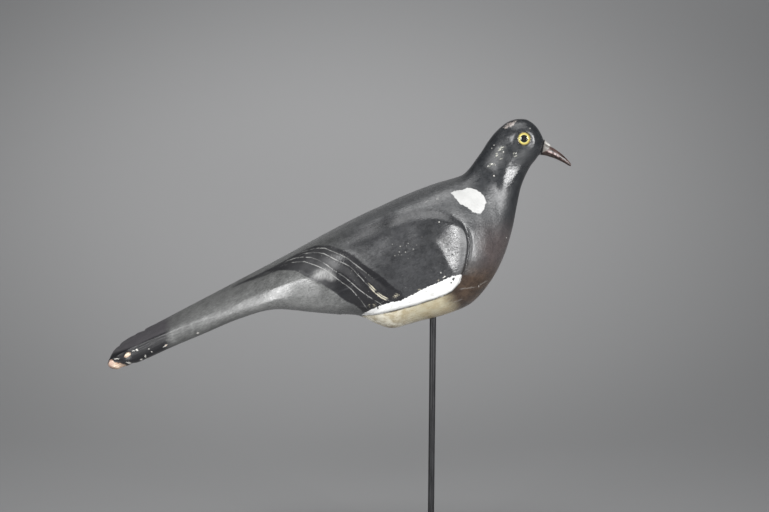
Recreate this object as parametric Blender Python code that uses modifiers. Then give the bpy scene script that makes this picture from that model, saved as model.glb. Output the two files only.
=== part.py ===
"""Carved and painted wooden pigeon decoy on a display rod with a round foot.

The bird faces +X, +Z is up, and the origin is the centre of the foot's underside, below the rod.
Sizes below are in millimetres and are turned into metres where the shapes are made. The bird's own
heights are measured from the point where the rod enters its belly.
"""
import math

import bpy
import bmesh
from mathutils import Matrix, Vector

MM = 0.001
GAP = 0.3

# Foot and rod
FOOT_RADIUS = 70.0
FOOT_HEIGHT = 8.0
FOOT_EDGE = 1.2
FOOT_SOCKET_DEPTH = 6.0
ROD_RADIUS = 2.9
ROD_IN_BODY = 24.0
ROD_SIDES = 32
BELLY_HEIGHT = 212.0

# Wooden body: cross-sections from the tail's end, along the back, up the neck and over the crown to the
# bill. Each one lies in the plane through its upper and lower point and the direction across the bird.
# upper x, z | lower x, z | half width | height share of the widest line | fullness above, below
SECTIONS = [
    (-290.5, -36.5, -292.0, -43.5, 25.0, 0.56, 2.0, 2.6),
    (-288.0, -32.0, -290.5, -46.0, 27.0, 0.60, 1.6, 3.4),
    (-282.5, -26.5, -284.5, -48.0, 28.0, 0.63, 1.4, 4.2),
    (-266.0, -16.0, -276.0, -46.0, 28.5, 0.65, 1.3, 4.6),
    (-250.5, -8.0, -260.5, -39.5, 28.5, 0.63, 1.3, 4.4),
    (-222.5, 7.0, -236.5, -28.5, 29.0, 0.54, 1.5, 3.8),
    (-190.5, 24.0, -206.5, -15.5, 31.0, 0.42, 1.9, 3.2),
    (-157.5, 41.7, -173.5, -1.0, 37.5, 0.34, 2.4, 2.9),
    (-123.5, 60.0, -142.5, 8.3, 47.3, 0.30, 2.8, 2.9),
    (-90.5, 78.0, -110.5, 6.2, 51.0, 0.30, 3.0, 2.8),
    (-63.5, 92.0, -82.5, 3.8, 51.5, 0.31, 3.1, 2.7),
    (-44.5, 101.0, -63.5, 1.0, 52.0, 0.34, 2.9, 2.5),
    (-34.5, 105.8, -52.5, -4.8, 52.0, 0.37, 3.0, 2.3),
    (-20.5, 111.8, -36.5, -10.0, 51.5, 0.39, 3.0, 2.2),
    (0.5, 120.0, -10.5, -3.4, 50.0, 0.40, 2.9, 2.1),
    (15.5, 124.7, 14.0, 3.7, 47.5, 0.40, 2.6, 2.1),
    (25.0, 128.4, 34.7, 13.7, 43.0, 0.39, 2.2, 2.2),
    (31.3, 134.5, 51.7, 33.7, 35.5, 0.38, 2.0, 2.3),
    (36.7, 142.0, 63.3, 56.6, 27.0, 0.40, 2.0, 2.4),
    (42.3, 150.0, 70.5, 81.0, 21.0, 0.44, 2.1, 2.3),
    (47.2, 157.9, 74.2, 101.0, 19.0, 0.50, 2.1, 2.1),
    (52.4, 164.9, 77.7, 118.2, 18.0, 0.50, 2.2, 2.1),
    (58.7, 171.4, 82.5, 130.2, 17.2, 0.50, 2.2, 2.1),
    (65.7, 176.4, 86.5, 137.7, 17.0, 0.50, 2.3, 2.1),
    (74.5, 178.8, 90.5, 142.7, 16.2, 0.50, 2.3, 2.1),
    (82.5, 178.0, 92.5, 145.6, 14.4, 0.50, 2.2, 2.1),
    (90.0, 172.8, 93.3, 146.5, 11.8, 0.48, 2.1, 2.1),
    (95.1, 165.2, 93.5, 146.6, 8.8, 0.46, 2.1, 2.1),
    (97.1, 160.6, 94.0, 146.6, 6.2, 0.46, 2.1, 2.1),
]
RINGS_PER_SECTION = 2
RING_POINTS = 40

# Folded wing, raised from the side of the body. The outline is its side view, x and z; the rear and
# upper parts run out level with the body.
WING_OUTLINE = [
    (-95.0, 69.0), (-62.5, 80.0), (-42.5, 90.0), (-22.0, 94.5), (-5.5, 97.0), (4.0, 96.5),
    (14.5, 93.0), (22.5, 89.5), (27.0, 84.5), (29.5, 78.5), (30.5, 73.0), (30.5, 67.0),
    (29.5, 60.5), (28.5, 54.5), (27.0, 49.0), (25.0, 44.0), (22.5, 38.5), (20.0, 34.5), (16.0, 30.0),
    (11.0, 27.0), (1.0, 23.0), (-15.5, 18.0), (-34.5, 13.0), (-51.5, 9.0), (-60.5, 7.0),
    (-64.0, -8.0), (-130.0, -8.0), (-150.0, 17.0), (-135.0, 45.0),
]
# How far it stands out of the body's side along x; below nothing it is buried in the body.
WING_RELIEF = [(-115.0, -0.6), (-70.0, 2.0), (-25.0, 3.0), (-8.0, 4.2), (6.0, 5.0), (40.0, 4.0)]
WING_INNER_Y = 18.0
WING_OUTER_Y = 80.0

# Glass eyes
EYE_X = 78.8
EYE_Z = 161.9
EYE_RADIUS = 6.0
EYE_SEAT_Y = 10.7
EYE_RIM_Y = 16.0
EYE_DOME = 2.4
EYE_SIDES = 32

# Bill: cross-sections from its base to its tip, upper x, z | lower x, z | half width
BILL_SECTIONS = [
    (97.6, 160.7, 94.5, 146.8, 5.2),
    (99.9, 158.6, 97.5, 146.5, 5.1),
    (102.4, 156.8, 100.6, 145.9, 4.7),
    (104.2, 154.5, 103.0, 145.1, 4.1),
    (107.1, 152.5, 106.1, 144.2, 3.7),
    (110.5, 150.2, 109.5, 142.8, 3.2),
    (114.0, 147.6, 113.1, 141.2, 2.7),
    (117.5, 144.3, 116.9, 139.2, 2.0),
    (120.5, 141.1, 120.1, 137.4, 1.3),
    (122.3, 138.8, 121.9, 136.8, 0.6),
]
BILL_RING_POINTS = 20
BILL_PEG_RADIUS = 2.5
BILL_PEG_LENGTH = 9.0


def clear_scene():
    for old in list(bpy.data.objects):
        bpy.data.objects.remove(old, do_unlink=True)


def new_collection(name):
    collection = bpy.data.collections.new(name)
    bpy.context.scene.collection.children.link(collection)
    return collection


def new_material(name, colour, roughness, metallic=0.0, transmission=0.0):
    material = bpy.data.materials.new(name)
    material.use_nodes = True
    shader = material.node_tree.nodes["Principled BSDF"]
    shader.inputs["Base Color"].default_value = (*colour, 1.0)
    shader.inputs["Roughness"].default_value = roughness
    shader.inputs["Metallic"].default_value = metallic
    shader.inputs["Transmission Weight"].default_value = transmission
    material.diffuse_color = (*colour, 1.0)
    return material


def link_mesh(name, bm, collection, material=None, smooth=True, height=BELLY_HEIGHT):
    """Make an object in metres from a bmesh in millimetres, placed at a height above the ground."""
    bmesh.ops.scale(bm, vec=(MM, MM, MM), verts=bm.verts)
    bmesh.ops.recalc_face_normals(bm, faces=bm.faces)
    mesh = bpy.data.meshes.new(name)
    bm.to_mesh(mesh)
    bm.free()
    obj = bpy.data.objects.new(name, mesh)
    obj.location.z = height * MM
    collection.objects.link(obj)
    if material:
        mesh.materials.append(material)
    if smooth:
        mesh.shade_smooth()
        mesh.set_sharp_from_angle(angle=math.radians(40))
    return obj


def hide_cutter(obj):
    obj.hide_render = True
    obj.display_type = "WIRE"


def add_boolean(obj, other, operation):
    modifier = obj.modifiers.new(operation.title() + " " + other.name, "BOOLEAN")
    modifier.operation = operation
    modifier.solver = "EXACT"
    modifier.object = other


def smooth_between(rows, steps):
    """Rows of values on a smooth curve through the given rows, with even steps between each pair."""
    knots = [0.0]
    for one, two in zip(rows, rows[1:]):
        middle_x = (two[0] + two[2] - one[0] - one[2]) / 2
        middle_z = (two[1] + two[3] - one[1] - one[3]) / 2
        knots.append(knots[-1] + max(1.0, math.hypot(middle_x, middle_z)))

    def slope(index, channel):
        before = max(index - 1, 0)
        after = min(index + 1, len(rows) - 1)
        left = right = None
        if before != index:
            left = (rows[index][channel] - rows[before][channel]) / (knots[index] - knots[before])
        if after != index:
            right = (rows[after][channel] - rows[index][channel]) / (knots[after] - knots[index])
        if left is None:
            return right
        if right is None:
            return left
        span_left = knots[index] - knots[before]
        span_right = knots[after] - knots[index]
        return (left * span_right + right * span_left) / (span_left + span_right)

    result = []
    for index in range(len(rows) - 1):
        span = knots[index + 1] - knots[index]
        for step in range(steps):
            t = step / steps
            row = []
            for channel in range(len(rows[0])):
                start, end = rows[index][channel], rows[index + 1][channel]
                start_slope = slope(index, channel) * span
                end_slope = slope(index + 1, channel) * span
                row.append((2 * t**3 - 3 * t**2 + 1) * start + (t**3 - 2 * t**2 + t) * start_slope
                           + (3 * t**2 - 2 * t**3) * end + (t**3 - t**2) * end_slope)
            result.append(row)
    result.append(list(rows[-1]))
    return result


def ring_points(section, count, extra_width=0.0):
    """Points round one cross-section, a rounded shape with its own fullness above and below."""
    upper_x, upper_z, lower_x, lower_z, half_width, widest, full_above, full_below = section
    upper = Vector((upper_x, 0.0, upper_z))
    lower = Vector((lower_x, 0.0, lower_z))
    centre = lower.lerp(upper, widest)
    points = []
    for step in range(count):
        angle = 2 * math.pi * step / count
        across, along = math.sin(angle), math.cos(angle)
        fullness = full_above if along > 0 else full_below
        reach = (abs(across) ** fullness + abs(along) ** fullness) ** (-1 / fullness)
        arm = (upper - centre) if along > 0 else (centre - lower)
        point = centre + arm * (along * reach)
        point.y = (half_width + extra_width) * across * reach
        points.append(point)
    return points


def loft(rings):
    """A closed skin over a row of rings that all have the same number of points."""
    bm = bmesh.new()
    loops = [[bm.verts.new(point) for point in ring] for ring in rings]
    count = len(loops[0])
    for one, two in zip(loops, loops[1:]):
        for step in range(count):
            after = (step + 1) % count
            bm.faces.new((one[step], one[after], two[after], two[step]))
    bm.faces.new(loops[0])
    bm.faces.new(reversed(loops[-1]))
    return bm


def wing_width(x):
    """How far the wing stands out of the body's side: most at the shoulder."""
    if x <= WING_RELIEF[0][0]:
        return WING_RELIEF[0][1]
    for (rear, low), (front, high) in zip(WING_RELIEF, WING_RELIEF[1:]):
        if x <= front:
            return low + (high - low) * (x - rear) / (front - rear)
    return WING_RELIEF[-1][1]


def cylinder(name, radius, start, end, collection, sides, height=BELLY_HEIGHT):
    """A closed cylinder from one point to another, in millimetres, used as a cutter."""
    start, end = Vector(start), Vector(end)
    axis = end - start
    bm = bmesh.new()
    bmesh.ops.create_cone(bm, cap_ends=True, segments=sides, radius1=radius, radius2=radius,
                          depth=axis.length)
    turn = axis.to_track_quat("Z", "Y").to_matrix().to_4x4()
    bmesh.ops.transform(bm, matrix=Matrix.Translation((start + end) / 2) @ turn, verts=bm.verts)
    obj = link_mesh(name, bm, collection, smooth=False, height=height)
    hide_cutter(obj)
    return obj


def make_wing_relief(cutters):
    """Both wings' raised skin: a slightly wider body, kept only inside the wings' outlines."""
    rows = smooth_between(SECTIONS, RINGS_PER_SECTION)
    rings = [ring_points(row, RING_POINTS, wing_width((row[0] + row[2]) / 2)) for row in rows]
    relief = link_mesh("wing_relief", loft(rings), cutters, smooth=False)
    hide_cutter(relief)

    bm = bmesh.new()
    for side in (-1, 1):
        inner = [bm.verts.new((x, side * WING_INNER_Y, z)) for x, z in WING_OUTLINE]
        outer = [bm.verts.new((x, side * WING_OUTER_Y, z)) for x, z in WING_OUTLINE]
        bm.faces.new(inner)
        bm.faces.new(outer)
        for step in range(len(inner)):
            after = (step + 1) % len(inner)
            bm.faces.new((inner[step], inner[after], outer[after], outer[step]))
    outline = link_mesh("wing_outline", bm, cutters, smooth=False)
    hide_cutter(outline)
    add_boolean(relief, outline, "INTERSECT")
    return relief


def bill_direction():
    """The line from the middle of the bill's base to the middle of its tip."""
    base, tip = BILL_SECTIONS[0], BILL_SECTIONS[-1]
    return Vector(((tip[0] + tip[2] - base[0] - base[2]) / 2, 0.0,
                   (tip[1] + tip[3] - base[1] - base[3]) / 2)).normalized()


def bill_base():
    base = BILL_SECTIONS[0]
    return Vector(((base[0] + base[2]) / 2, 0.0, (base[1] + base[3]) / 2))


def make_body(parts, cutters):
    rows = smooth_between(SECTIONS, RINGS_PER_SECTION)
    painted_wood = new_material("painted_wood", (0.16, 0.165, 0.17), 0.45)
    body = link_mesh("carved_body", loft([ring_points(row, RING_POINTS) for row in rows]), parts,
                     painted_wood)
    add_boolean(body, make_wing_relief(cutters), "UNION")

    for side, name in ((-1, "near_eye_socket"), (1, "far_eye_socket")):
        socket = cylinder(name, EYE_RADIUS + GAP, (EYE_X, side * (EYE_SEAT_Y - GAP), EYE_Z),
                          (EYE_X, side * (EYE_RIM_Y + 12), EYE_Z), cutters, EYE_SIDES)
        add_boolean(body, socket, "DIFFERENCE")

    peg_end = bill_base() - bill_direction() * (BILL_PEG_LENGTH + GAP)
    bill_socket = cylinder("bill_socket", BILL_PEG_RADIUS + GAP, peg_end,
                           bill_base() + bill_direction() * 6, cutters, 24)
    add_boolean(body, bill_socket, "DIFFERENCE")

    rod_socket = cylinder("rod_socket", ROD_RADIUS + GAP, (0, 0, -40), (0, 0, ROD_IN_BODY + GAP),
                          cutters, ROD_SIDES)
    add_boolean(body, rod_socket, "DIFFERENCE")
    return body


def make_bill(parts, cutters):
    rows = [(*row, 0.45, 2.1, 2.1) for row in BILL_SECTIONS]
    rings = [ring_points(row, BILL_RING_POINTS) for row in smooth_between(rows, 2)]
    horn = new_material("bill_paint", (0.10, 0.065, 0.06), 0.4)
    bill = link_mesh("bill", loft(rings), parts, horn)
    peg = cylinder("bill_peg", BILL_PEG_RADIUS, bill_base() - bill_direction() * BILL_PEG_LENGTH,
                   bill_base() + bill_direction() * 4, cutters, 24)
    add_boolean(bill, peg, "UNION")
    return bill


def make_eye(name, side, parts):
    """A glass eye: a short stem in its socket and a low dome, turned about the line across the head."""
    bm = bmesh.new()
    dome_radius = (EYE_RADIUS**2 + EYE_DOME**2) / (2 * EYE_DOME)
    dome_centre = EYE_DOME - dome_radius
    profile = [(0.0, EYE_SEAT_Y), (EYE_RADIUS, EYE_SEAT_Y)]
    dome_angle = math.asin(EYE_RADIUS / dome_radius)
    dome_steps = 6
    for step in range(dome_steps + 1):
        angle = dome_angle * (1 - step / dome_steps)
        profile.append((dome_radius * math.sin(angle), EYE_RIM_Y + dome_centre + dome_radius * math.cos(angle)))
    verts = [bm.verts.new((radius, 0.0, height)) for radius, height in profile]
    edges = [bm.edges.new(pair) for pair in zip(verts, verts[1:])]
    bmesh.ops.spin(bm, geom=verts + edges, cent=(0, 0, 0), axis=(0, 0, 1), angle=2 * math.pi,
                   steps=EYE_SIDES, use_merge=True)
    bmesh.ops.remove_doubles(bm, verts=bm.verts, dist=0.001)
    turn = Matrix.Rotation(math.radians(-90 * side), 4, "X")
    bmesh.ops.transform(bm, matrix=Matrix.Translation((EYE_X, 0, EYE_Z)) @ turn, verts=bm.verts)
    glass = new_material(name + "_glass", (0.75, 0.6, 0.2), 0.03, transmission=0.9)
    return link_mesh(name, bm, parts, glass)


def make_rod(parts):
    bm = bmesh.new()
    bottom = FOOT_HEIGHT - FOOT_SOCKET_DEPTH + GAP
    top = BELLY_HEIGHT + ROD_IN_BODY
    bmesh.ops.create_cone(bm, cap_ends=True, segments=ROD_SIDES, radius1=ROD_RADIUS, radius2=ROD_RADIUS,
                          depth=top - bottom)
    steel = new_material("rod_steel", (0.03, 0.03, 0.032), 0.35, 0.6)
    return link_mesh("rod", bm, parts, steel, height=(top + bottom) / 2)


def make_foot(parts, cutters):
    bm = bmesh.new()
    bmesh.ops.create_cone(bm, cap_ends=True, segments=72, radius1=FOOT_RADIUS, radius2=FOOT_RADIUS,
                          depth=FOOT_HEIGHT)
    steel = new_material("foot_steel", (0.03, 0.03, 0.032), 0.4, 0.6)
    foot = link_mesh("foot", bm, parts, steel, height=FOOT_HEIGHT / 2)
    bevel = foot.modifiers.new("Rounded rim", "BEVEL")
    bevel.width = FOOT_EDGE * MM
    bevel.segments = 3
    bevel.limit_method = "ANGLE"
    socket = cylinder("foot_socket", ROD_RADIUS + GAP, (0, 0, FOOT_HEIGHT - FOOT_SOCKET_DEPTH),
                      (0, 0, FOOT_HEIGHT + 5), cutters, ROD_SIDES, height=0)
    add_boolean(foot, socket, "DIFFERENCE")
    return foot


def main():
    clear_scene()
    parts = new_collection("pigeon_decoy")
    cutters = new_collection("cutters")
    make_body(parts, cutters)
    make_bill(parts, cutters)
    make_eye("right_eye", -1, parts)
    make_eye("left_eye", 1, parts)
    make_rod(parts)
    make_foot(parts, cutters)


main()
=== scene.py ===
"""Looks of the carved and painted pigeon decoy: fine carving, old paint, glass eyes, rod and foot."""
import math

import bpy
import numpy as np
from mathutils import Matrix, Vector, noise


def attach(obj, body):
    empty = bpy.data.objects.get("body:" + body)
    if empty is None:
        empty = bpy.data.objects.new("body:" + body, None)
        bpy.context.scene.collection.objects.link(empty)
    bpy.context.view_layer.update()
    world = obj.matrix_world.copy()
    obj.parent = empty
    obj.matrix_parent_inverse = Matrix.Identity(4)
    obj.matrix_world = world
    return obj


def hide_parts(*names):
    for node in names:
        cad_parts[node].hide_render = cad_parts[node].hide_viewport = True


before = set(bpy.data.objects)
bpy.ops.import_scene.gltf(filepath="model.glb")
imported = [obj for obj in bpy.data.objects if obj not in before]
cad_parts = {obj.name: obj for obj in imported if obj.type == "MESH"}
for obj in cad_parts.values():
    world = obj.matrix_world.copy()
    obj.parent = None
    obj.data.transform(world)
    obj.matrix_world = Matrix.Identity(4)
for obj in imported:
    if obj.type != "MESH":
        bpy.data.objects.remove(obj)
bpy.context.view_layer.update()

MM = 0.001

# The view the photograph was taken from, in metres and degrees
VIEW_DISTANCE = 1.63
VIEW_ELEVATION = math.radians(6.5)
VIEW_ROLL = math.radians(0.4)
VIEW_TARGET = Vector((-0.04415, 0, 0.2669))
LENS = 84.8
SENSOR = 36.0
# Where the middle of the picture lies on the side view, in millimetres
VIEW_MIDDLE = (-43.65, 54.9)

# The bird's own heights are measured from the point where the rod enters its belly
BELLY_HEIGHT = 212.0

# Cross-sections of the wooden body, the same as the solid's, in millimetres:
# upper x, z | lower x, z | half width | height share of the widest line | fullness above, below
SECTIONS = [
    (-290.5, -36.5, -292, -43.5, 25, 0.56, 2, 2.6),
    (-288, -32, -290.5, -46, 27, 0.60, 1.6, 3.4),
    (-282.5, -26.5, -284.5, -48, 28, 0.63, 1.4, 4.2),
    (-266, -16, -276, -46, 28.5, 0.65, 1.3, 4.6),
    (-250.5, -8, -260.5, -39.5, 28.5, 0.63, 1.3, 4.4),
    (-222.5, 7, -236.5, -28.5, 29, 0.54, 1.5, 3.8),
    (-190.5, 24, -206.5, -15.5, 31, 0.42, 1.9, 3.2),
    (-157.5, 41.7, -173.5, -1, 37.5, 0.34, 2.4, 2.9),
    (-123.5, 60, -142.5, 8.3, 47.3, 0.30, 2.8, 2.9),
    (-90.5, 78, -110.5, 6.2, 51, 0.30, 3, 2.8),
    (-63.5, 92, -82.5, 3.8, 51.5, 0.31, 3.1, 2.7),
    (-44.5, 101, -63.5, 1, 52, 0.34, 2.9, 2.5),
    (-34.5, 105.8, -52.5, -4.8, 52, 0.37, 3, 2.3),
    (-20.5, 111.8, -36.5, -9.8, 51.5, 0.39, 3, 2.2),
    (-10, 116, -23.5, -6.7, 51, 0.40, 3, 2.1),
    (0.5, 120, -10.5, -2.9, 50, 0.40, 2.9, 2.1),
    (15.5, 124.7, 14, 3.7, 47.5, 0.40, 2.6, 2.1),
    (25, 128.4, 34.7, 13.7, 43, 0.39, 2.2, 2.2),
    (31.3, 134.5, 51.7, 33.7, 35.5, 0.38, 2, 2.3),
    (36.7, 142, 63.3, 56.6, 27, 0.40, 2, 2.4),
    (42.3, 150, 70.5, 81, 21, 0.44, 2.1, 2.3),
    (47.2, 157.9, 74.2, 101, 19, 0.50, 2.1, 2.1),
    (52.4, 164.9, 77.7, 118.2, 18, 0.50, 2.2, 2.1),
    (58.7, 171.4, 82.5, 130.2, 17.2, 0.50, 2.2, 2.1),
    (65.7, 176.4, 86.5, 137.7, 17, 0.50, 2.3, 2.1),
    (74.5, 178.8, 90.5, 142.7, 16.2, 0.50, 2.3, 2.1),
    (82.5, 178, 92.5, 145.6, 14.4, 0.50, 2.2, 2.1),
    (90, 172.8, 93.3, 146.5, 11.8, 0.48, 2.1, 2.1),
    (95.1, 165.2, 93.5, 146.6, 8.8, 0.46, 2.1, 2.1),
    (97.1, 160.6, 94, 146.6, 6.2, 0.46, 2.1, 2.1),
]
BODY_RINGS = 470
BODY_SEGMENTS = 200
CAP_RINGS = 5
RING_SPACING_WING = 0.85
RING_SPACING_REST = 1.3
WING_SPAN_X = (-165, 38)
SIDE_CROWDING = 0.13

# Outlines below are in millimetres on the side view as it is seen from the camera: distance along the
# bird from the rod, and height above the point where the rod enters the belly.
WING_TOP = [(-150, 43), (-117, 63), (-88, 72), (-63, 80), (-42.5, 90), (-21.5, 95.5),
            (-4.5, 97.5), (5.5, 96.5), (16, 91.5), (24.5, 85.5)]
WING_FRONT = [(24.5, 85.5), (29, 80), (31.5, 74), (32.5, 68.5), (32.5, 62), (31.5, 55.5),
              (30.5, 49.5), (29, 44), (27, 38.5)]
WING_LOWER = [(27, 38.5), (24.5, 32.5), (22, 28.5), (17.5, 23.5), (12.5, 20.5), (2.5, 16.5), (-4.5, 14.5),
              (-14.5, 11), (-24.5, 8.5), (-34, 6), (-44, 3.5), (-52, 2), (-61, 1.5)]
WING_REAR = [(-61, 1.5), (-61, -20), (-150, -20)]
WING_OUTLINE = WING_TOP + WING_FRONT[1:] + WING_LOWER[1:] + WING_REAR[1:]
BELLY = [(-75, -3)] + WING_LOWER[::-1] + [(60, 30), (60, -40), (-75, -40)]
WING_STANDS_OUT = [(-115, 0), (-97, 2), (-70, 2), (-25, 3), (-5, 4.1), (15, 4.8),
                   (40, 4.8)]
WING_TOP_SLOPE = [(-60, 14), (0, 11), (12, 8), (22, 4)]
SHOULDER_RIDGE = [(26, 85.5), (19, 83.5), (13, 79.5), (7.5, 75), (2.5, 71.5), (0.5, 69),
                  (4.5, 64), (8, 58), (12.5, 49), (15.5, 44), (19.5, 35)]
SHOULDER_FRONT = SHOULDER_RIDGE + [(60, 20), (60, 85.5)]
SHOULDER_FALL = 1.4
SHOULDER_MOTTLES = [(1.5, 69.5), (8.5, 75), (14.5, 79.5), (20.5, 82.5), (24.5, 78.5), (27, 70.5),
                    (26, 60), (23, 50), (21, 42), (16.5, 43), (12.5, 50), (7.5, 60)]
RUMP_RIDGE = [(-207, -4.5), (-188, 4.5), (-170, 15), (-152, 23.5), (-134.5, 28.5), (-111, 35.5),
              (-96, 42)]
RUMP_CREASE = [(-122, 42), (-113, 36), (-105, 30.5), (-98, 25), (-92, 18), (-88, 8)]
BACK_LINE = [(-181, 27), (-173.5, 30.5), (-162, 34.5), (-150.5, 38.5), (-139.5, 43.5)]
TAIL_RIDGE = [(-292, -34), (-270, -27), (-254.5, -19.5), (-240, -13), (-232.5, -9.5),
              (-215, -2.5)]
# Notches and chips of the tail: x, height, half width and depth
TAIL_NOTCHES = [(-262, -11.8, 2.4, 1.9), (-284.5, -26.5, 2.4, 2.2), (-269.5, -15.6, 1.6, 0.9),
                (-275, -34.2, 3, 0.9), (-240.8, -26, 2, 0.7), (-288, -41, 4.5, 1.5),
                (-279.5, -44, 5, 1.6), (-270, -43, 3, 1), (-258.7, -36, 1.6, 0.8)]

NECK_PATCH = [(16, 111.5), (20, 113.5), (27, 114.5), (31, 116.5), (35.5, 115.5), (39, 114.5),
              (42.5, 112), (46, 109), (47, 106), (48, 103), (46.5, 99.5), (46.5, 97),
              (44.5, 95), (43, 93), (39, 93.5), (36, 94.5), (32, 98), (27, 101),
              (25, 101.5), (21.5, 105.5), (19, 108.5)]
WING_STRIPE = [(-64.5, 2), (-56.5, 6), (-47.5, 10), (-38.5, 13), (-29, 14.5), (-24.5, 17),
               (-14.5, 22), (-4.5, 27), (5.5, 31.5), (12.5, 34.5), (17.5, 36.5), (22, 37.5),
               (26, 37.5), (24.5, 32.5), (22, 28.5), (17.5, 23.5), (12.5, 20.5), (2.5, 16.5),
               (-4.5, 14.5), (-14.5, 11), (-24.5, 8.5), (-34, 6), (-44, 3.5), (-52, 2),
               (-60.5, 1.5)]
PRIMARIES = [(-180, 27), (-162, 36), (-148.5, 42.5), (-139.5, 47), (-128, 53.5), (-117, 59.5),
             (-106, 64), (-92.5, 64), (-83, 60.5), (-76.5, 58), (-71, 55), (-65, 49.5),
             (-59, 45), (-51, 39.5), (-45, 35.5), (-39.5, 30), (-33.5, 25.5), (-29.5, 23.5),
             (-25, 16), (-45, 8), (-62, 2.5), (-65, 7), (-71, 11.5), (-76.5, 13.5),
             (-82.5, 17.5), (-87.5, 22), (-93.5, 26), (-101.5, 31), (-109, 34.5), (-114.5, 37),
             (-119, 40), (-123.5, 42), (-130.5, 42.5), (-138, 42.5), (-148.5, 41), (-162, 34.5)]
FEATHER_STEPS = [(-105, 0.5), (-90, 0.15), (-65, 0.15), (-55, 0.3)]
FEATHER_LINES = [
    [(-118, 58.5), (-111, 60.5), (-103.5, 62), (-97.5, 62), (-91.5, 59.5), (-85.5, 57),
     (-81, 55), (-76.5, 52.5), (-72, 49), (-67.5, 45.5), (-63, 42), (-58, 38)],
    [(-116, 57), (-109.5, 58), (-103.5, 58), (-98, 57), (-93, 54.5), (-88.5, 52),
     (-84, 50), (-79.5, 48), (-75.5, 46), (-72, 43), (-68.5, 39), (-64.5, 35),
     (-61, 31), (-56.5, 27), (-51, 21.5), (-46.5, 18), (-40.5, 15)],
    [(-131, 50.5), (-124, 53), (-117, 54), (-109.5, 53.5), (-103.5, 51.5), (-99, 49),
     (-94.5, 46), (-90.5, 43), (-86, 40), (-81, 37), (-76.5, 33.5), (-72, 29.5),
     (-67.5, 25.5), (-63, 22), (-58, 18.5), (-52.5, 15), (-47.5, 12)],
    [(-128.5, 49), (-123, 49.5), (-116, 50), (-111.5, 48.5), (-107, 47), (-102, 45),
     (-96.5, 42), (-91.5, 38.5), (-87, 35), (-82.5, 31.5), (-78, 28.5), (-73.5, 25),
     (-70, 21), (-66, 16.5), (-63, 12.5), (-60.5, 9)],
]

# The flat on the neck: x, height, half length, half width and slope; then how far it turns ahead and up
NECK_FACET = (69.5, 127.5, 15, 6.5, 58)
NECK_FACET_AHEAD, NECK_FACET_UP = math.radians(18), math.radians(5)

# Sockets in the wood and what stands in them, in millimetres
EYE_PLACE = (78.8, 161.9)
EYE_RADIUS = 6.0
EYE_SEAT_Y = 10.7
EYE_BACK_Y = 12.3
EYE_RIM_Y = 16.0
EYE_DOME = 2.4
SOCKET_GAP = 0.3
BILL_SECTIONS = [
    (97.6, 160.7, 94.5, 146.8, 5.2),
    (99.9, 158.6, 97.5, 146.5, 5.1),
    (102.4, 156.8, 100.6, 145.9, 4.7),
    (104.2, 154.5, 103, 145.1, 4.1),
    (107.1, 152.5, 106.1, 144.2, 3.7),
    (110.5, 150.2, 109.5, 142.8, 3.2),
    (114, 147.6, 113.1, 141.2, 2.7),
    (117.5, 144.3, 116.9, 139.2, 2),
    (120.5, 141.1, 120.1, 137.4, 1.3),
    (122.3, 138.8, 121.9, 136.8, 0.6),
]
BILL_PEG_RADIUS = 2.5
BILL_PEG_LENGTH = 9.0
CERE = [(98, 165), (98.6, 158.6), (100.2, 156.6), (103, 154.6), (106.5, 153), (109, 157)]
# CERE_SIDE outlines the shaded side of that skin, which is painted darker
CERE_SIDE = [(99.4, 158), (102.5, 155.6), (106, 153.6), (102.9, 150.3), (98.2, 147.8), (98.9, 150.8)]
BILL_MOUTH = [(96, 147), (102, 147.6), (107, 145.9), (112, 143.2), (117, 140), (123, 136.4)]
IRIS_RADIUS = 4.2
PUPIL_RADIUS = 2.75
ROD_RADIUS = 2.9
ROD_IN_BODY = 24.0
FOOT_RADIUS = 70.0
FOOT_HEIGHT = 8.0
FOOT_SOCKET_DEPTH = 6.0

# Paint colours
WING_GREY_LOW, WING_GREY_HIGH = (0.028, 0.029, 0.031), (0.046, 0.047, 0.050)
BACK_GREY_LOW, BACK_GREY_HIGH = (0.074, 0.076, 0.079), (0.100, 0.102, 0.104)
RUMP_GREY_LOW, RUMP_GREY_HIGH = (0.098, 0.100, 0.098), (0.148, 0.150, 0.147)
FLANK_GREY_LOW, FLANK_GREY_HIGH = (0.15, 0.152, 0.15), (0.21, 0.212, 0.208)
NECK_GREY_LOW, NECK_GREY_HIGH = (0.022, 0.024, 0.027), (0.036, 0.038, 0.041)
BREAST_LOW, BREAST_HIGH = (0.078, 0.066, 0.066), (0.105, 0.086, 0.084)
BREAST_FOOT_LOW, BREAST_FOOT_HIGH = (0.045, 0.028, 0.019), (0.088, 0.057, 0.038)
TAIL_SIDE = (0.010, 0.010, 0.012)
TAIL_TOP_LOW, TAIL_TOP_HIGH = (0.060, 0.056, 0.062), (0.078, 0.074, 0.080)
PRIMARY_BLACK, PRIMARY_GREY = (0.016, 0.016, 0.018), (0.045, 0.045, 0.048)
VANE_GREY = (0.048, 0.048, 0.050)
# Paler grey of the shoulder facet: worn paint, lightened further as a painted highlight
WEAR_AND_HIGHLIGHT_GREY_LOW, WEAR_AND_HIGHLIGHT_GREY_HIGH = (0.15, 0.15, 0.152), (0.26, 0.26, 0.259)
FEATHER_GREY = (0.30, 0.30, 0.29)
# Pale grey of the painted highlight on the black wing feathers
PAINTED_HIGHLIGHT_GREY = (0.30, 0.30, 0.295)
SCUFF_CREAM = (0.56, 0.52, 0.41)
SCUFF_OLIVE = (0.46, 0.46, 0.39)
BELLY_PALE = (0.96, 0.91, 0.76)
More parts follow.
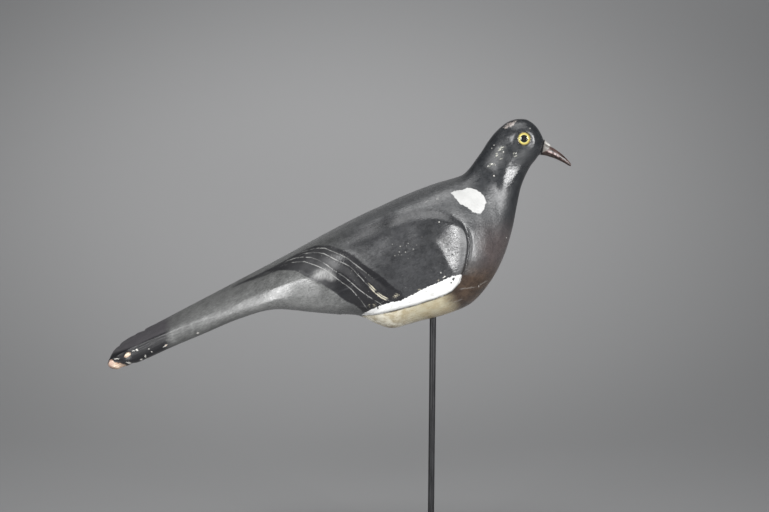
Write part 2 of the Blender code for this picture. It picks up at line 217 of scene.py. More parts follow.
# BELLY_BROWN is the painted shade low on the belly
BELLY_CREAM, BELLY_STAINED, BELLY_BROWN = (0.63, 0.58, 0.42), (0.52, 0.44, 0.28), (0.26, 0.18, 0.09)
PATCH_WHITE, PATCH_PALE = (0.53, 0.53, 0.52), (0.60, 0.60, 0.59)
STREAK_GREY, RUBBED_GREY = (0.42, 0.42, 0.39), (0.13, 0.13, 0.12)
SHADE_BROWN = (0.035, 0.028, 0.022)
WHITE_LOW, WHITE_HIGH = (0.87, 0.87, 0.85), (0.94, 0.94, 0.93)
CHIP_WHITE = (0.80, 0.78, 0.73)
CROWN_BROWN, CROWN_PALE = (0.22, 0.17, 0.16), (0.50, 0.46, 0.43)
RAW_WOOD, RAW_WOOD_DARK, RAW_RIM = (0.90, 0.77, 0.61), (0.58, 0.37, 0.26), (0.26, 0.15, 0.09)
RAW_PINK = (0.46, 0.29, 0.25)
HORN_DARK, HORN_BROWN, HORN_PINK = (0.028, 0.018, 0.015), (0.095, 0.060, 0.053), (0.55, 0.42, 0.40)
MOUTH_BLACK, SEAM_BLACK = (0.012, 0.009, 0.008), (0.010, 0.008, 0.008)
CERE_WHITE, CERE_GREY, CERE_DARK = (0.70, 0.69, 0.66), (0.46, 0.44, 0.41), (0.20, 0.19, 0.175)
IRIS_PALE, IRIS_YELLOW = (0.95, 0.86, 0.34), (0.88, 0.68, 0.10)
IRIS_RIM, IRIS_EDGE, PUPIL_BLACK = (0.24, 0.19, 0.08), (0.06, 0.05, 0.035), (0.004, 0.003, 0.003)
STAND_BLACK, STAND_GREY = (0.012, 0.012, 0.013), (0.026, 0.026, 0.028)
# Backdrop colours for its painted pool of light: lit middle and dim edges
BACKDROP_BRIGHT, BACKDROP_DIM = (0.434, 0.434, 0.438), (0.272, 0.274, 0.278)
GLOSS_ROUGH = 0.27
GLOSS_LEVEL = 0.8
# Roughness of the shinier and duller paint, as a grey
NECK_ROUGH, TAIL_ROUGH, SHOULDER_ROUGH = (0.21, 0.21, 0.21), (0.19, 0.19, 0.19), (0.20, 0.20, 0.20)
DULL_ROUGH = (0.66, 0.66, 0.66)

# Small marks on the side that is seen: x, height, half length, half width, slope in degrees
WHITE_CHIPS = [(-269.3, -30.4, 1.2, 0.5, 5), (-266.5, -29.7, 1.4, 0.8, 10), (-258.7, -35.4, 0.8, 1.2, 0),
               (-262.5, -38.1, 1.2, 0.6, 20), (-240.8, -25.8, 2.4, 0.65, 38), (-252.9, -31.4, 0.7, 0.5, 0),
               (-255.6, -28.9, 0.6, 0.5, 0), (-284.4, -37.7, 2.6, 0.5, 4), (-274, -41.2, 2.6, 0.6, -15),
               (-211.5, -14.5, 1.2, 0.5, 20), (66.1, 71.4, 0.5, 0.5, 0), (53, 152, 0.5, 0.4, 0),
               (54.9, 154.8, 0.6, 0.5, 0), (63.5, 148.5, 0.7, 0.4, 30), (53.1, 138.1, 1, 0.5, 0),
               (49.5, 135.9, 0.9, 0.4, 30), (56, 137, 0.5, 0.5, 0), (54.9, 126.9, 0.45, 0.6, 20),
               (74.7, 147.6, 0.9, 0.5, 50), (87.3, 169.6, 0.7, 0.4, 60), (5.4, 85.5, 0.7, 0.7, 0),
               (7.2, 40, 0.4, 0.8, 10), (9.9, 36, 2.2, 0.5, 35), (41, 27.5, 0.4, 0.8, 0)]
FAINT_SCRATCHES = [(31, 26, 8, 0.5, 8), (45, 30.5, 4.5, 0.5, 30), (22, 14.5, 5, 0.5, 20),
                   (4.1, 106.2, 1.2, 0.8, 0), (-6, 104, 2, 0.4, 20)]
NAPE_SCUFFS = [(61.5, 151.5, 4.5, 3.4, 20), (57.5, 146, 3.2, 3, 0), (61, 143, 2.5, 2, 0),
               (52.5, 137, 4.5, 3, 10), (73, 146, 3.5, 3, 0)]
WORN_BROWN = [(69, 173, 8, 2.8, 28)]
THROAT_RUB = [(60, 148, 11, 7, 60)]
WHITE_GAPS = [(18.5, 34, 1.2, 1.6, -20), (16.5, 31, 0.8, 0.9, 0), (-49.5, 8.1, 0.7, 1, 0),
              (-53, 9, 1.2, 0.7, 20), (-33, 14.5, 0.8, 0.5, 0)]
CREAM_SCUFFS = [(-52.5, 11, 4.5, 2.6, 30), (-33, 19, 6, 3, 25), (-57.5, 10, 2.6, 2.8, 30),
                (-12, 25, 4, 1.6, 25), (5, 33, 3, 1.4, 25)]
# Painted highlight where the shine of the rump runs on across the black wing feathers
PAINTED_HIGHLIGHT_SPOTS = [(-99.5, 38.5, 11, 5.5, 10), (-93, 37, 7, 5, -35)]
WING_SPECKS = [(-31, 63, 20, 11, -12)]
SATIN_PAINT = [(57, 143, 12, 8, 60), (82, 143, 10, 6, 20)]
DARK_DOTS = [(14.4, 59.9, 1, 0.9, 0), (17.5, 56.5, 0.7, 1.3, 0), (22.5, 78.5, 1.2, 0.8, 0)]
RAW_SPOTS = [(-283.5, -44.2, 9.5, 3, -9), (-275.5, -44.8, 6.5, 1.2, 5), (-275, -34.2, 3.2, 1.9, 35),
             (-289.3, -41.5, 2.2, 3.2, 0), (-240.2, -25.4, 0.9, 0.4, 40)]

# The areas whose edges are kept on the body's mesh for its paint
PAINTED_AREAS = {"neck_patch": NECK_PATCH, "wing_stripe": WING_STRIPE, "primaries": PRIMARIES,
                 "belly": BELLY, "shoulder": SHOULDER_MOTTLES, "wing": WING_OUTLINE}


def deselect_all():
    if bpy.context.object and bpy.context.object.mode != "OBJECT":
        bpy.ops.object.mode_set(mode="OBJECT")
    bpy.ops.object.select_all(action="DESELECT")


def select_only(obj):
    deselect_all()
    bpy.context.view_layer.objects.active = obj
    obj.select_set(True)


def smooth_rows(rows, steps):
    """Rows of values on a smooth curve through the given rows, with even steps between each pair."""
    rows = np.array(rows)
    middle = (rows[:, 0:2] + rows[:, 2:4]) / 2
    knots = np.concatenate([[0], np.cumsum(np.maximum(1, np.hypot(*np.diff(middle, axis=0).T)))])
    span = np.diff(knots)[:, None]
    secant = np.diff(rows, axis=0) / span
    slope = np.empty_like(rows)
    slope[0], slope[-1] = secant[0], secant[-1]
    slope[1:-1] = (secant[:-1] * span[1:] + secant[1:] * span[:-1]) / (span[1:] + span[:-1])
    t = np.arange(steps)[None, :, None] / steps
    start, end = rows[:-1, None, :], rows[1:, None, :]
    start_slope = (slope[:-1] * span)[:, None, :]
    end_slope = (slope[1:] * span)[:, None, :]
    curve = ((2 * t**3 - 3 * t**2 + 1) * start + (t**3 - 2 * t**2 + t) * start_slope
             + (3 * t**2 - 2 * t**3) * end + (t**3 - t**2) * end_slope)
    return np.vstack([curve.reshape(-1, rows.shape[1]), rows[-1:]])


def body_rings(count):
    """Cross-sections at the rings of the body, closer together along the wing."""
    rows = smooth_rows(SECTIONS, 24)
    middle = (rows[:, 0:2] + rows[:, 2:4]) / 2
    length = np.hypot(*np.diff(middle, axis=0).T)
    x = (middle[1:, 0] + middle[:-1, 0]) / 2
    low, high = WING_SPAN_X
    on_wing = (1 / (1 + np.exp(-(x - low) / 6))) * (1 / (1 + np.exp((x - high) / 6)))
    spacing = RING_SPACING_REST + (RING_SPACING_WING - RING_SPACING_REST) * on_wing
    along = np.concatenate([[0], np.cumsum(length / spacing)])
    wanted = np.linspace(0, along[-1], count)
    return np.stack([np.interp(wanted, along, rows[:, channel]) for channel in range(rows.shape[1])], axis=1)


def smoothstep(value):
    value = np.clip(value, 0, 1)
    return value * value * (3 - 2 * value)


def side_view(points):
    """Where points in metres are seen on the side view, in millimetres; the far side is seen mirrored."""
    relative = points - np.array(VIEW_TARGET)
    relative[:, 1] = -np.abs(points[:, 1])
    cos, sin = math.cos(VIEW_ELEVATION), math.sin(VIEW_ELEVATION)
    depth = VIEW_DISTANCE + relative[:, 1] * cos - relative[:, 2] * sin
    up = relative[:, 1] * sin + relative[:, 2] * cos
    across, up = relative[:, 0] * VIEW_DISTANCE / depth, up * VIEW_DISTANCE / depth
    x = across * math.cos(VIEW_ROLL) + up * math.sin(VIEW_ROLL)
    z = up * math.cos(VIEW_ROLL) - across * math.sin(VIEW_ROLL)
    return np.stack([x / MM + VIEW_MIDDLE[0], z / MM + VIEW_MIDDLE[1]], axis=1)


def line_distance(points, line):
    """Distance from each point to a line of straight pieces, and how far along it that is."""
    best = np.full(len(points), 1e9)
    along = np.zeros(len(points))
    travelled = 0.0
    for start, end in zip(np.array(line[:-1]), np.array(line[1:])):
        direction = end - start
        length = np.hypot(*direction)
        share = np.clip((points - start) @ direction / length**2, 0, 1)
        distance = np.hypot(*(points - start - share[:, None] * direction).T)
        nearer = distance < best
        best[nearer] = distance[nearer]
        along[nearer] = (travelled + share * length)[nearer]
        travelled += length
    return best, along


def inside(points, outline):
    """Which points lie inside a closed outline."""
    outline = np.array(outline)
    result = np.zeros(len(points), dtype=bool)
    x, z = points.T
    for (x1, z1), (x2, z2) in zip(outline, np.roll(outline, -1, axis=0)):
        crosses = (z1 > z) != (z2 > z)
        if z1 != z2:
            result ^= crosses & (x < (x2 - x1) * (z - z1) / (z2 - z1) + x1)
    return result


def outline_depth(points, outline):
    """Distance inside a closed outline, negative outside it."""
    distance, _ = line_distance(points, list(outline) + [outline[0]])
    return np.where(inside(points, outline), distance, -distance)


def signed_line_distance(points, line):
    """Distance to an open line, positive on the side above it."""
    distance, along = line_distance(points, line)
    closed = list(line) + [(line[-1][0] + 300, line[-1][1] - 300), (-400, -300), (-400, line[0][1] - 120)]
    return np.where(inside(points, closed), -distance, distance), along


def get_points(obj, what="co"):
    """Where the points of a mesh are, or with "normal" which way they face."""
    points = np.empty(len(obj.data.vertices) * 3)
    obj.data.vertices.foreach_get(what, points)
    return points.reshape(-1, 3)


def set_points(obj, points):
    obj.data.vertices.foreach_set("co", points.ravel())
    obj.data.update()


def set_attribute(obj, name, values):
    attribute = obj.data.attributes.new(name, "FLOAT", "POINT")
    attribute.data.foreach_set("value", values.astype(np.float32))


def smooth_shading(obj, degrees):
    select_only(obj)
    bpy.ops.object.shade_smooth_by_angle(angle=math.radians(degrees))


def drawn_out(name, rows, ring_count, segments, cap_rings, crowding=0):
    """A ball drawn out along a row of cross-sections; gives the object and how far each point is round it."""
    deselect_all()
    bpy.ops.mesh.primitive_uv_sphere_add(segments=segments, ring_count=ring_count, radius=1)
    obj = bpy.context.object
    obj.name = obj.data.name = name
    ball = get_points(obj)
    ring = np.rint(np.arccos(np.clip(ball[:, 2], -1, 1)) / math.pi * ring_count).astype(int)
    turn = np.arctan2(ball[:, 1], ball[:, 0])
    angle = turn + crowding * np.sin(2 * turn)
    at_pole = (ring == 0) | (ring == ring_count)

    row = rows[np.clip(ring - cap_rings, 0, len(rows) - 1)]
    shrink = np.minimum(1, np.minimum(ring, ring_count - ring) / cap_rings)
    across, along = np.sin(angle), np.cos(angle)
    fullness = np.where(along > 0, row[:, 6], row[:, 7])
    reach = (np.abs(across) ** fullness + np.abs(along) ** fullness) ** (-1 / fullness)
    upper, lower, widest = row[:, 0:2], row[:, 2:4], row[:, 5:6]
    centre = lower + (upper - lower) * widest
    arm = np.where((along > 0)[:, None], upper - centre, centre - lower)
    place = centre + arm * (along * reach)[:, None] * shrink[:, None]
    place[at_pole] = centre[at_pole]
    width = row[:, 4] * across * reach * shrink
    width[at_pole] = 0.0
    set_points(obj, np.stack([place[:, 0], width, place[:, 1] + BELLY_HEIGHT], axis=1) * MM)
    turn_faces_out(obj)
    return obj, np.abs(across * reach)


def turn_faces_out(obj):
    select_only(obj)
    bpy.ops.object.mode_set(mode="EDIT")
    bpy.ops.mesh.select_all(action="SELECT")
    bpy.ops.mesh.normals_make_consistent(inside=False)
    bpy.ops.object.mode_set(mode="OBJECT")


def make_body():
    """The carved body, with the wings, feathers and knife work raised from and cut into its skin."""
    rows = body_rings(BODY_RINGS + 1 - 2 * CAP_RINGS)
    body, sideways = drawn_out("painted_body", rows, BODY_RINGS, BODY_SEGMENTS, CAP_RINGS, SIDE_CROWDING)
    points, normals = get_points(body), get_points(body, "normal")
    seen = side_view(points)
    raised = wing_relief(seen) * sideways + small_carving(seen) * smoothstep(sideways * 3)
    raised += knife_work(points)
    straight_out = np.stack([np.zeros(len(points)), np.sign(points[:, 1]), np.zeros(len(points))], axis=1)
    outward = normals * 0.5 + straight_out * 0.5
    points += (outward * raised[:, None] + normals * tail_wear(points, seen)[:, None]) * MM
    set_points(body, eye_seats(neck_facets(points, seen)))
    return body


def neck_facets(points, seen):
    """A long flat left by the knife on each side of the neck, turned forward and a little up."""
    x, h = seen[:, 0] - NECK_FACET[0], seen[:, 1] - NECK_FACET[1]
    slope = math.radians(NECK_FACET[4])
    along = (x * math.cos(slope) + h * math.sin(slope)) / NECK_FACET[2]
    across = (h * math.cos(slope) - x * math.sin(slope)) / NECK_FACET[3]
    away = np.hypot(along, across)
    near_middle = away < 0.15
    middle = np.abs(points[near_middle]).mean(axis=0)
    level = (middle[1] - math.tan(NECK_FACET_AHEAD) * (points[:, 0] - middle[0])
             - math.tan(NECK_FACET_UP) * (points[:, 2] - middle[2]))
    share = 0.75 * smoothstep((1.3 - away) / 1.1)
    points[:, 1] += share * (level - np.abs(points[:, 1])) * np.sign(points[:, 1])
    return points


def eye_seats(points):
    """The wood round each eye brought level with the glass rim."""
    x, side, z = points[:, 0] / MM, np.sign(points[:, 1]), points[:, 2] / MM - BELLY_HEIGHT
    share = smoothstep((13.0 - np.hypot(x - EYE_PLACE[0], z - EYE_PLACE[1])) / 6.5)
    level = side * (EYE_RIM_Y + 0.1 - 0.09 * (x - EYE_PLACE[0])) * MM
    change = np.clip(share * (level - points[:, 1]) * side, -0.12 * MM, 1.0 * MM) * side
    points[:, 1] += np.where(np.abs(points[:, 1]) > 5 * MM, change, 0)
    return points


def gentle(x, table, reach=8):
    """Values of a table of places along the bird, with its corners rounded off."""
    return np.mean([np.interp(x + shift, *zip(*table)) for shift in np.linspace(-reach, reach, 9)], axis=0)


def wing_relief(seen):
    """How far the wing stands out: crisp in front and below, soft above, turned in at the shoulder."""
    within = inside(seen, WING_OUTLINE)
    edge, _ = line_distance(seen, WING_FRONT + WING_LOWER[1:])
    top, _ = line_distance(seen, WING_TOP)
    stands_out = gentle(seen[:, 0], WING_STANDS_OUT)
    past_ridge, _ = line_distance(seen, SHOULDER_RIDGE)
    past_ridge = np.where(inside(seen, SHOULDER_FRONT), past_ridge, 0)
    past_ridge = past_ridge**2 / (past_ridge + 1.5)
    fall = SHOULDER_FALL * (1 - np.exp(-past_ridge / 5))
    relief = (stands_out - fall) * smoothstep(edge / 2.4)
    relief *= smoothstep(top / gentle(seen[:, 0], WING_TOP_SLOPE, 4))
    relief = np.where(within, relief, 0)

    front_line = WING_TOP[-3:] + WING_FRONT[1:]
    front, along = line_distance(seen, front_line)
    length = sum(math.dist(one, two) for one, two in zip(front_line, front_line[1:]))
    deep = smoothstep((along - 16) / 22) * smoothstep((length - along) / 14)
    groove = -0.6 * np.exp(-(front / 1.4) ** 2)
    swell = np.where(within, 0, 1.2 * smoothstep(front / 3.6) * smoothstep((25.0 - front) / 21))
    swell *= smoothstep((88.0 - seen[:, 1]) / 11) * smoothstep((seen[:, 1] - 38) / 16)
    return relief + groove * deep + swell * deep


def small_carving(seen):
    """The steps between the long wing feathers, the line above the rump and the crease beside it."""
    x = seen[:, 0]
    depth = np.zeros(len(seen))
    for line in FEATHER_LINES:
        above, along = signed_line_distance(seen, line)
        ends = smoothstep(along / 6)
        step = gentle(x, FEATHER_STEPS, 12)
        depth -= step * ends * np.where(above > 0, np.clip(1 - above / 5, 0, 1), 0) * (above < 5)
    border = outline_depth(seen, PRIMARIES)
    depth -= 0.35 * np.exp(-(border / 0.9) ** 2) * smoothstep((x + 178) / 20)
    back, _ = line_distance(seen, BACK_LINE)
    depth -= 0.8 * np.exp(-(back / 1.6) ** 2)
    above, along = signed_line_distance(seen, RUMP_RIDGE)
    above = np.maximum(above, 0)
    turned_up = 1.3 * (1 - np.exp(-above / 6)) * smoothstep((36.0 - above) / 26)
    depth -= turned_up * smoothstep(along / 30) * smoothstep((-98.0 - x) / 12)
    crease, along = signed_line_distance(seen, RUMP_CREASE)
    past = np.maximum(crease, 0)
    depth -= 1.6 * (1 - np.exp(-past / 8)) * smoothstep((40.0 - past) / 30) * smoothstep(along / 8)
    return depth


def knife_work(points):
    """Long shallow knife facets and small dents, all cut a little into the skin."""
    cos, sin = math.cos(math.radians(25)), math.sin(math.radians(25))
    depth = np.empty(len(points))
    for index, (x, y, z) in enumerate(points):
        along, up = x * cos + z * sin, z * cos - x * sin
        if x > 0.035:
            along, up = z, x
        facet = noise.noise(Vector((along * 26, y * 105, up * 105)))
        ripple = noise.noise(Vector((along * 70 + 7, y * 260, up * 260)))
        depth[index] = -0.28 * (0.5 + 0.5 * facet) - 0.014 * (1 + ripple)
    return depth


def tail_wear(points, seen):
    """Notches, chips and the split end of the tail."""
    depth = np.zeros(len(points))
    for x, h, across, deep in TAIL_NOTCHES:
        away = np.hypot(seen[:, 0] - x, seen[:, 1] - h)
        depth -= deep * np.exp(-(away / across) ** 2)
    rough = smoothstep((-262.0 - seen[:, 0]) / 16) * smoothstep((-33.0 - seen[:, 1]) / 6)
    for index in np.nonzero(rough > 0)[0]:
        x, y, z = points[index]
        depth[index] -= rough[index] * (0.5 + 0.7 * noise.noise(Vector((x * 90, y * 300, z * 300))))
    return depth


def round_bar(piece, operation, start, end, radius, sides=72):
    """Cuts a round bar out of a piece or joins it on; its ends are in the bird's own millimetres."""
    lift = Vector((0, 0, BELLY_HEIGHT))
    start, end = (Vector(start) + lift) * MM, (Vector(end) + lift) * MM
    deselect_all()
    bpy.ops.mesh.primitive_cylinder_add(vertices=sides, radius=radius * MM, depth=(end - start).length,
                                        location=(start + end) / 2,
                                        rotation=(end - start).to_track_quat("Z", "Y").to_euler())
    bar = bpy.context.object
    modifier = piece.modifiers.new("bar", "BOOLEAN")
    modifier.operation = operation
    modifier.solver = "EXACT"
    modifier.object = bar
    select_only(piece)
    bpy.ops.object.modifier_apply(modifier=modifier.name)
    bpy.data.objects.remove(bar, do_unlink=True)


def cut_sockets(body):
    """Round sockets for the eyes, the bill's peg and the rod."""
    x, z = EYE_PLACE
    base, direction = bill_base(), bill_direction()
    sockets = [((x, side * (EYE_SEAT_Y - SOCKET_GAP), z), (x, side * 30, z), EYE_RADIUS)
               for side in (-1, 1)]
    sockets += [((0, 0, -40), (0, 0, ROD_IN_BODY + SOCKET_GAP), ROD_RADIUS),
                (base - direction * (BILL_PEG_LENGTH + SOCKET_GAP), base + direction * 6, BILL_PEG_RADIUS)]
    for start, end, radius in sockets:
        round_bar(body, "DIFFERENCE", start, end, radius + SOCKET_GAP)


def mark_paint(body):
    """Keeps on the mesh how far each point is from the edges of the painted areas, in millimetres."""
    points = get_points(body)
    seen = side_view(points)
    for name, outline in PAINTED_AREAS.items():
        set_attribute(body, name, outline_depth(seen, outline))
    set_attribute(body, "tail_ridge", signed_line_distance(seen, TAIL_RIDGE)[0])
    set_attribute(body, "back_line", line_distance(seen, BACK_LINE)[0])
    set_attribute(body, "along", seen[:, 0])
    set_attribute(body, "height", seen[:, 1])
    set_attribute(body, "near_side", smoothstep(0.5 - points[:, 1] / MM / 4))
    for number, line in enumerate(FEATHER_LINES):
        set_attribute(body, f"feather_{number}", signed_line_distance(seen, line)[0])


def bill_direction():
    base, tip = BILL_SECTIONS[0], BILL_SECTIONS[-1]
    return Vector(((tip[0] + tip[2] - base[0] - base[2]) / 2, 0,
                   (tip[1] + tip[3] - base[1] - base[3]) / 2)).normalized()


def bill_base():
    base = BILL_SECTIONS[0]
    return Vector(((base[0] + base[2]) / 2, 0, (base[1] + base[3]) / 2))


def make_bill():
    """The bill, with the line of the mouth cut in, the swollen skin over its base and its peg."""
    rows = smooth_rows([(*row, 0.45, 2.1, 2.1) for row in BILL_SECTIONS], 10)
    bill, _ = drawn_out("bill_horn", rows, len(rows) - 1 + 8, 72, 4)
    points, normals = get_points(bill), get_points(bill, "normal")
    seen = side_view(points)
    mouth, along = line_distance(seen, BILL_MOUTH)
    raised = -0.35 * np.exp(-(mouth / 0.45) ** 2) * smoothstep(along / 3)
    cere = outline_depth(seen, CERE)
    raised -= 0.30 * np.exp(-(cere / 0.55) ** 2) * smoothstep((seen[:, 0] - 97.5) / 2)
    for index, (x, y, z) in enumerate(points):
        raised[index] -= 0.10 * (0.5 + 0.5 * noise.noise(Vector((x * 500, y * 700, z * 700))))
    set_points(bill, points + normals * raised[:, None] * MM)
    round_bar(bill, "UNION", bill_base() - bill_direction() * BILL_PEG_LENGTH,
              bill_base() + bill_direction() * 4, BILL_PEG_RADIUS, 48)
    seen = side_view(get_points(bill))
    set_attribute(bill, "cere", outline_depth(seen, CERE))
    set_attribute(bill, "cere_side", outline_depth(seen, CERE_SIDE))
    upper, lower = np.array(BILL_SECTIONS[0][0:2]), np.array(BILL_SECTIONS[0][2:4])
    from_lower = get_points(bill)[:, [0, 2]] / MM - (lower[0], lower[1] + BELLY_HEIGHT)
    seam = from_lower @ (upper[1] - lower[1], lower[0] - upper[0]) / math.dist(upper, lower)
    set_attribute(bill, "seam", seam)
    set_attribute(bill, "mouth", signed_line_distance(seen, BILL_MOUTH)[0])
    set_attribute(bill, "along", seen[:, 0])
    smooth_shading(bill, 45)
    return bill


def turned(name, profile, steps, axis_place, axis_turn):
    """A solid turned from a profile of radius and height, in millimetres, then laid along its own axis."""
    deselect_all()
    bpy.ops.mesh.primitive_circle_add(vertices=steps, radius=profile[0][0] * MM, fill_type="NGON")
    obj = bpy.context.object
    obj.name = obj.data.name = name
    bpy.ops.object.mode_set(mode="EDIT")
    bpy.ops.mesh.select_all(action="SELECT")
    radius, height = profile[0]
    bpy.ops.transform.translate(value=(0, 0, height * MM))
    for next_radius, next_height in profile[1:]:
        rise = (next_height - height) * MM
        bpy.ops.mesh.extrude_region_move(TRANSFORM_OT_translate={"value": (0, 0, rise)})
        share = next_radius / radius
        bpy.ops.transform.resize(value=(share, share, 1), center_override=(0, 0, next_height * MM))
        radius, height = next_radius, next_height
    bpy.ops.object.mode_set(mode="OBJECT")
    obj.data.transform(Matrix.Translation(axis_place) @ axis_turn.to_4x4())
    turn_faces_out(obj)
    return obj


def make_eye(name, side):
    """A clear glass eye with a domed front, and the painted iris sealed behind it."""
    place = Vector((EYE_PLACE[0], 0, EYE_PLACE[1] + BELLY_HEIGHT)) * MM
    turn = Matrix.Rotation(math.radians(-90 * side), 3, "X")
    dome_radius = (EYE_RADIUS**2 + EYE_DOME**2) / (2 * EYE_DOME)
    dome_angle = math.asin(EYE_RADIUS / dome_radius)
    steps = 16
    profile = [(EYE_RADIUS - 0.3, EYE_BACK_Y), (EYE_RADIUS, EYE_BACK_Y + 0.3)]
    for step in range(steps + 1):
        angle = dome_angle * (1 - step / steps) if step < steps else dome_angle * 0.012
        height = EYE_RIM_Y + EYE_DOME - dome_radius * (1 - math.cos(angle))
        profile.append((dome_radius * math.sin(angle), height))
    glass = turned(name + "_glass", profile, 72, place, turn)
    front, pupil_front = EYE_BACK_Y - 0.05, EYE_BACK_Y - 0.02
    profile = [(EYE_RADIUS - 0.1, EYE_SEAT_Y), (EYE_RADIUS - 0.1, EYE_BACK_Y - 0.25),
               (EYE_RADIUS - 0.3, front), (IRIS_RADIUS, front), (PUPIL_RADIUS + 0.1, front),
               (PUPIL_RADIUS, pupil_front), (0.05, pupil_front)]
    iris = turned(name + "_iris", profile, 72, place, turn)
    points = get_points(iris) / MM
    set_attribute(iris, "from_middle", np.hypot(points[:, 0] - EYE_PLACE[0],
                                                points[:, 2] - EYE_PLACE[1] - BELLY_HEIGHT))
    smooth_shading(glass, 40)
    smooth_shading(iris, 40)
    return glass, iris


def make_rod():
    """The round rod, its ends eased with a small chamfer."""
    bottom = FOOT_HEIGHT - FOOT_SOCKET_DEPTH + SOCKET_GAP
    top = BELLY_HEIGHT + ROD_IN_BODY
    edge = 0.5
    profile = [(ROD_RADIUS - edge, bottom), (ROD_RADIUS, bottom + edge)]
    profile += [(ROD_RADIUS, bottom + (top - bottom) * share) for share in (0.1, 0.3, 0.5, 0.7, 0.9)]
    profile += [(ROD_RADIUS, top - edge), (ROD_RADIUS - edge, top), (0.05, top)]
    rod = turned("stand_rod", profile, 64, Vector(), Matrix.Identity(3))
    smooth_shading(rod, 40)
    return rod


def make_foot():
    """The round foot: a turned disc with an eased rim, a shallow dish round the rod and a socket for it."""
    edge, top = 1.2, FOOT_HEIGHT
    hole = ROD_RADIUS + SOCKET_GAP
    floor = FOOT_HEIGHT - FOOT_SOCKET_DEPTH
    profile = [(FOOT_RADIUS - edge, 0)]
    for step in range(1, 7):
        angle = math.pi / 2 * step / 6
        profile.append((FOOT_RADIUS - edge + edge * math.sin(angle), edge - edge * math.cos(angle)))
    for step in range(7):
        angle = math.pi / 2 * step / 6
        profile.append((FOOT_RADIUS - edge + edge * math.cos(angle), top - edge + edge * math.sin(angle)))
    profile += [(FOOT_RADIUS - 8, top - 0.02), (40, top - 0.02), (hole + 0.4, top - 0.02),
                (hole, top - 0.4), (hole, floor), (0.05, floor)]
    foot = turned("stand_foot", profile, 128, Vector(), Matrix.Identity(3))
    smooth_shading(foot, 40)
    return foot


class Nodes:
    """Short names for adding and linking shader nodes."""

    def __init__(self, name):
        self.material = bpy.data.materials.new(name)
        self.material.use_nodes = True
        self.tree = self.material.node_tree
        self.tree.nodes.clear()
        output = self.new("OutputMaterial")
        self.shader = self.new("BsdfPrincipled")
        self.tree.links.new(self.shader.outputs["BSDF"], output.inputs["Surface"])

    def put(self, socket, value):
        if isinstance(value, bpy.types.NodeSocket):
            self.tree.links.new(value, socket)
        elif isinstance(value, tuple) and len(value) == 3 and len(socket.default_value) == 4:
            socket.default_value = (*value, 1)
        else:
            socket.default_value = value

    def fill(self, node, inputs):
        for name, value in inputs.items():
            self.put(node.inputs[name.replace("_", " ")], value)
        return node

    def new(self, kind, **inputs):
        return self.fill(self.tree.nodes.new("ShaderNode" + kind), inputs)

    def set(self, **inputs):
        self.fill(self.shader, inputs)

    def attribute(self, name):
        node = self.new("Attribute")
        node.attribute_name = name
        return node.outputs["Fac"]

    def mapped(self, place, **inputs):
        """A place moved, turned and scaled into the frame of a texture."""
        node = self.new("Mapping", Vector=place, **inputs)
        node.vector_type = "TEXTURE"
        return node.outputs["Vector"]

    def place(self, stretch=(1, 1, 1), turn=0):
        """Object coordinates, turned about the line across the bird and then stretched."""
        coordinates = self.new("TexCoord").outputs["Object"]
        return self.mapped(coordinates, Rotation=(0, math.radians(turn), 0), Scale=stretch)

    def noise(self, scale, detail=3, roughness=0.55, place=None, output="Fac"):
        place = place or self.place()
        node = self.new("TexNoise", Scale=scale, Detail=detail, Roughness=roughness, Vector=place)
        return node.outputs[output]

    def cells(self, scale):
        return self.new("TexVoronoi", Scale=scale, Vector=self.place()).outputs["Distance"]

    def math(self, operation, first, second=0):
        node = self.new("Math")
        node.operation = operation
        self.put(node.inputs[0], first)
        self.put(node.inputs[1], second)
        return node.outputs[0]

    def add(self, first, second):
        return self.math("ADD", first, second)

    def away(self, value, middle=0):
        """How far a value is from a middle one, to either side."""
        return self.math("ABSOLUTE", self.add(value, -middle) if middle else value)

    def chain(self, operation, values):
        result = values[0]
        for value in values[1:]:
            result = self.math(operation, result, value)
        return result

    def times(self, *factors):
        return self.chain("MULTIPLY", factors)

    def most(self, *values):
        return self.chain("MAXIMUM", values)

    def span(self, value, low, high, out_low=0, out_high=1):
        node = self.new("MapRange", Value=value, From_Min=low, From_Max=high, To_Min=out_low, To_Max=out_high)
        node.interpolation_type = "SMOOTHSTEP"
        return node.outputs["Result"]

    def mix(self, amount, first, second, blend="MIX"):
        node = self.new("Mix", Factor=amount)
        node.data_type = "RGBA"
        node.blend_type = blend
        colours = [socket for socket in node.inputs if socket.type == "RGBA"]
        self.put(colours[0], first)
        self.put(colours[1], second)
        return [socket for socket in node.outputs if socket.type == "RGBA"][0]

    def together(self, x, y):
        return self.new("CombineXYZ", X=x, Y=y).outputs["Vector"]

    def vector(self, operation, *inputs):
        node = self.new("VectorMath")
        node.operation = operation
        for socket, value in zip(node.inputs, inputs):
            self.put(socket, value)
        return node

    def shaken(self, place, shake, amount):
        """A place moved about by the colours of a noise."""
        centred = self.vector("SUBTRACT", shake, (0.5, 0.5, 0.5)).outputs["Vector"]
        return self.vector("MULTIPLY_ADD", centred, (amount, amount, 0), place).outputs["Vector"]

    def oval(self, place, middle, size, slope=0):
        """How far a place is from the middle of an oval: 0 there and 1 on its rim."""
        place = self.mapped(place, Location=middle, Rotation=(0, 0, math.radians(slope)), Scale=size)
        return self.vector("LENGTH", place).outputs["Value"]

    def spots(self, place, spots):
        """How far a place is from the nearest oval of a table of small marks."""
        return self.chain("MINIMUM", [self.oval(place, (x, height, 0), (long, wide, 1), slope)
                                      for x, height, long, wide, slope in spots])

    def bump(self, height, distance, strength=1, normal=None):
        node = self.new("Bump", Height=height, Distance=distance, Strength=strength)
        if normal:
            self.put(node.inputs["Normal"], normal)
        return node.outputs["Normal"]


